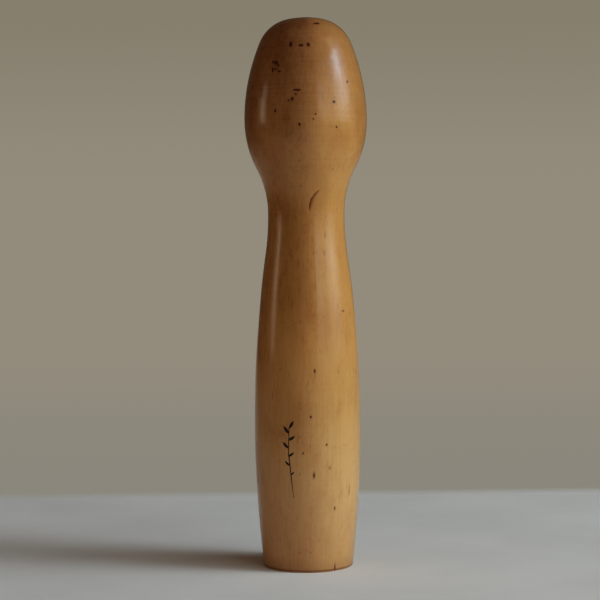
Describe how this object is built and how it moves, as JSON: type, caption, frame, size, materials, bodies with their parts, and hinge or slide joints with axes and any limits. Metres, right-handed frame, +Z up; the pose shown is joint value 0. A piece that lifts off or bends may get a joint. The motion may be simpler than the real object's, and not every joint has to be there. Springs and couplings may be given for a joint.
{
  "type": "kokeshi doll",
  "caption": "Turned wooden kokeshi doll, bare waxed wood: a tall rounded head on a waisted neck, pinned by a tenon into a slightly swelling round body with a flat base.",
  "frame": {"origin": "centre of the flat base that the doll stands on", "axes": "+Z up along the turning axis, through the crown; -Y out of the side with the small brush mark; +X to the right of someone who looks at that side"},
  "size_m": [0.0538, 0.0538, 0.242],
  "materials": {
    "waxed_wood": "satin"
  },
  "bodies": {
    "root": {"head": "waxed_wood", "body": "waxed_wood"}
  },
  "joints": []
}
